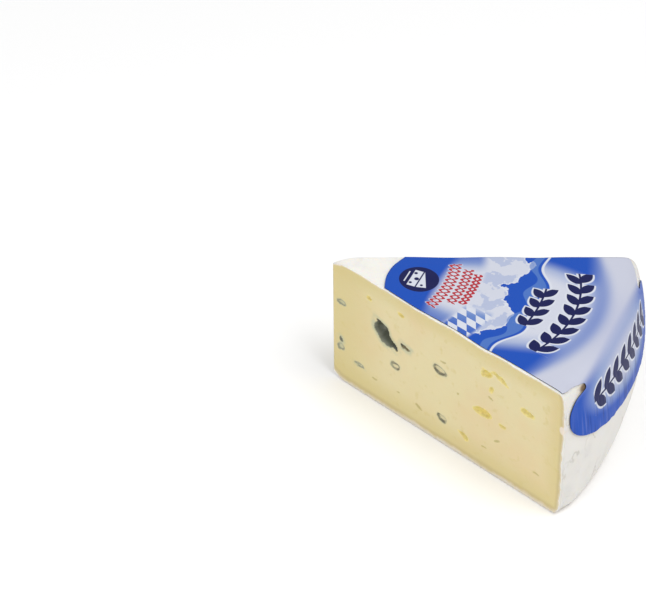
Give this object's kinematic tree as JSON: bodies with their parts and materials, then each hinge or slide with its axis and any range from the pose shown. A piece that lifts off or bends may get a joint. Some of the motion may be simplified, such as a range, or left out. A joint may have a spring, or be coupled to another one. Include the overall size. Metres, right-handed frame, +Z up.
{
  "type": "blue cheese wedge",
  "caption": "Wedge of soft blue-veined cheese cut from a round wheel, with white bloomy rind, blue mould pockets and a printed paper label over the top and rim.",
  "frame": {"origin": "middle of the bottom of the bounding box, on the table under the wedge", "axes": "+X from the tip to the rounded rind side, along the wedge's middle plane; +Z up, away from the table"},
  "size_m": [0.0964, 0.0728, 0.0465],
  "materials": {
    "cheese": "moist cream paste with a soft sheen, and a dry white bloomy rind",
    "label": "satin printed paper"
  },
  "bodies": {
    "root": {"cheese": "cheese", "label": "label"}
  },
  "joints": []
}
